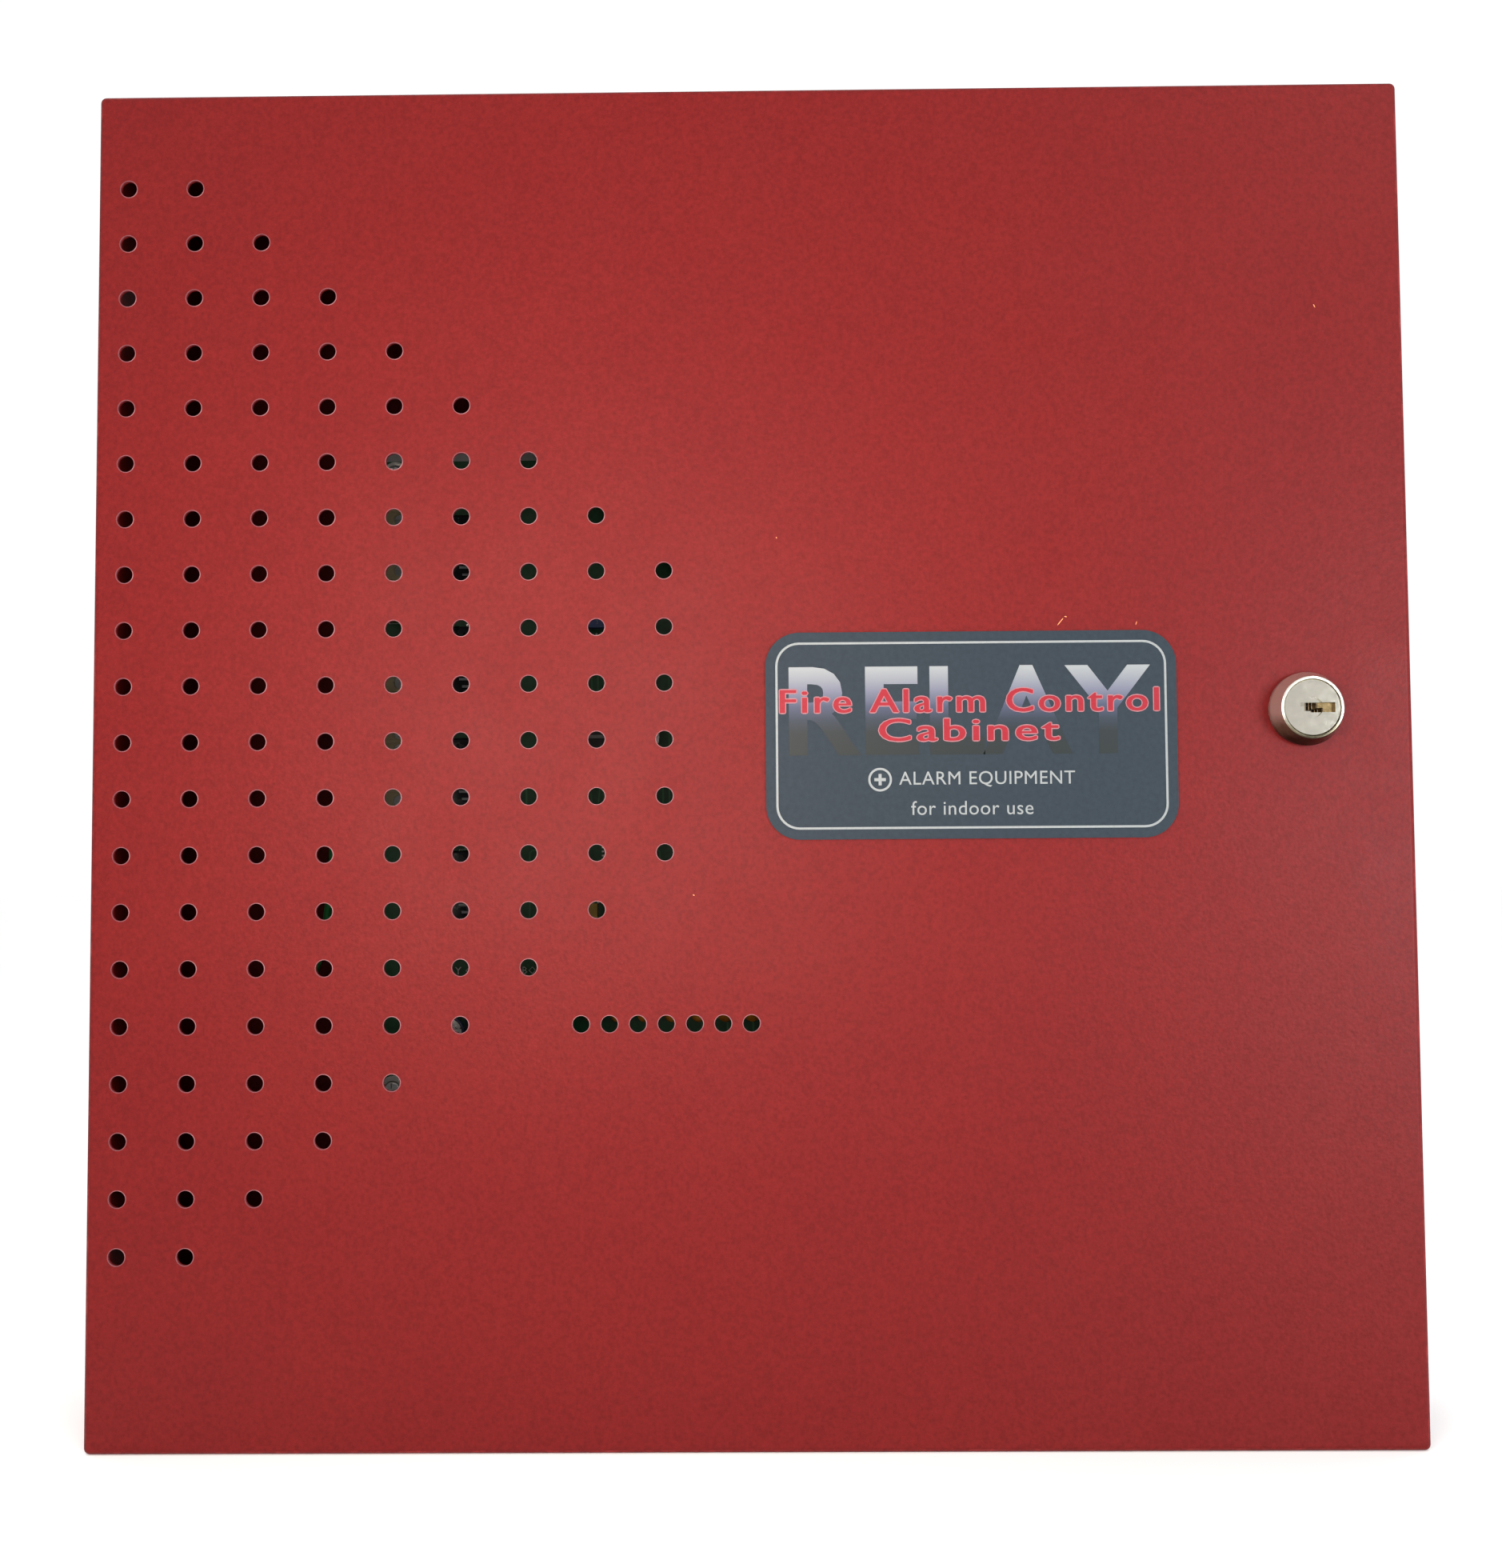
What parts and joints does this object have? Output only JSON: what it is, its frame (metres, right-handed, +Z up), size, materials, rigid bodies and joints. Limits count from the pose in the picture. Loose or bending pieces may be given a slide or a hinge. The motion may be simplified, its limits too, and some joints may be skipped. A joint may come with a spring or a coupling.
{
  "type": "fire alarm relay cabinet",
  "caption": "Red wall cabinet with a hinged, vented and locked door, a nameplate, and two relay boards inside.",
  "frame": {"origin": "centre of the backbox's rear face, on the wall", "axes": "+X to the right of a person facing the door, +Y into the wall, +Z up; the door faces -Y"},
  "size_m": [0.3724, 0.0764, 0.3824],
  "materials": {
    "red_paint": "satin fine-textured red powder coat",
    "nameplate_film": "printed polycarbonate film, slate blue-grey",
    "label_paper": "printed paper label",
    "nickel": "bright nickel plating",
    "brass": "cut brass",
    "zinc": "zinc-plated steel",
    "steel": "plain bright steel",
    "board_green": "glass-fibre board with green solder mask",
    "terminal_beige": "beige moulded nylon",
    "relay_black": "black moulded cover",
    "switch_blue": "blue moulded switch body",
    "switch_white": "white moulded button or dial",
    "black_plastic": "black moulded plastic",
    "lamp_amber": "tinted clear lamp",
    "nylon_white": "natural nylon",
    "capacitor_sleeve": "dark blue shrink sleeve with aluminium top",
    "resistor_yellow": "dipped resin",
    "ribbon_grey": "grey ribbon cable",
    "wire_green": "green insulated wire"
  },
  "bodies": {
    "cabinet": {"address_switches": "switch_blue", "backbox": "red_paint", "board_screws": "zinc", "board_standoffs": "brass", "chassis_nuts": "zinc", "chassis_plate": "zinc", "chassis_spacers": "nylon_white", "chassis_studs": "steel", "crystal": "steel", "dip_body": "switch_blue", "driver_chips": "black_plastic", "earth_nut": "steel", "earth_ring_terminal": "zinc", "earth_stud": "steel", "earth_washers": "zinc", "earth_wire": "wire_green", "expansion_board": "board_green", "expansion_relay_bases": "black_plastic", "expansion_relay_covers": "relay_black", "expansion_terminal_blocks": "terminal_beige", "expansion_terminal_screws": "zinc", "filter_capacitors": "capacitor_sleeve", "light_spacers": "black_plastic", "link_headers": "black_plastic", "link_plugs": "black_plastic", "link_ribbon": "ribbon_grey", "lower_hinge_box_leaf": "red_paint", "lower_hinge_pin": "steel", "main_board": "board_green", "main_relay_bases": "black_plastic", "main_relay_covers": "relay_black", "main_terminal_blocks": "terminal_beige", "main_terminal_screws": "zinc", "processor": "black_plastic", "resistor_networks": "resistor_yellow", "status_lights": "lamp_amber", "upper_hinge_box_leaf": "red_paint", "upper_hinge_pin": "steel"},
    "door": {"door_panel": "red_paint", "nameplate": "nameplate_film", "wiring_label": "label_paper", "lock_body": "nickel", "lock_washer": "zinc", "lock_nut": "nickel", "upper_hinge_door_leaf": "red_paint", "lower_hinge_door_leaf": "red_paint"},
    "lock_cylinder": {"lock_plug": "nickel", "lock_tumblers": "brass", "lock_cam": "zinc", "cam_screw": "zinc"},
    "tens_dial": {"address_dial_tens": "switch_white"},
    "ones_dial": {"address_dial_ones": "switch_white"},
    "dip_button_1": {"dip_slider_1": "switch_white"},
    "dip_button_2": {"dip_slider_2": "switch_white"},
    "dip_button_3": {"dip_slider_3": "switch_white"},
    "dip_button_4": {"dip_slider_4": "switch_white"}
  },
  "joints": [
    {"name": "door_hinge", "type": "hinge", "parent": "cabinet", "child": "door", "pos_m": [-0.1849, -0.04895, 0], "axis": [0, 0, -1], "range_deg": [0, 180]},
    {"name": "lock_turn", "type": "hinge", "parent": "door", "child": "lock_cylinder", "pos_m": [0.155, -0.0725, 0.0123], "axis": [0, -1, 0], "range_deg": [0, 90]},
    {"name": "tens_dial_turn", "type": "hinge", "parent": "cabinet", "child": "tens_dial", "pos_m": [-0.05683, -0.027, 0.072], "axis": [0, -1, 0], "continuous": true},
    {"name": "ones_dial_turn", "type": "hinge", "parent": "cabinet", "child": "ones_dial", "pos_m": [-0.04083, -0.027, 0.072], "axis": [0, -1, 0], "continuous": true},
    {"name": "dip_button_1_slide", "type": "slide", "parent": "cabinet", "child": "dip_button_1", "axis": [0, 0, 1], "range_m": [0, 0.0015]},
    {"name": "dip_button_2_slide", "type": "slide", "parent": "cabinet", "child": "dip_button_2", "axis": [0, 0, 1], "range_m": [0, 0.0015]},
    {"name": "dip_button_3_slide", "type": "slide", "parent": "cabinet", "child": "dip_button_3", "axis": [0, 0, 1], "range_m": [0, 0.0015]},
    {"name": "dip_button_4_slide", "type": "slide", "parent": "cabinet", "child": "dip_button_4", "axis": [0, 0, 1], "range_m": [0, 0.0015]}
  ]
}
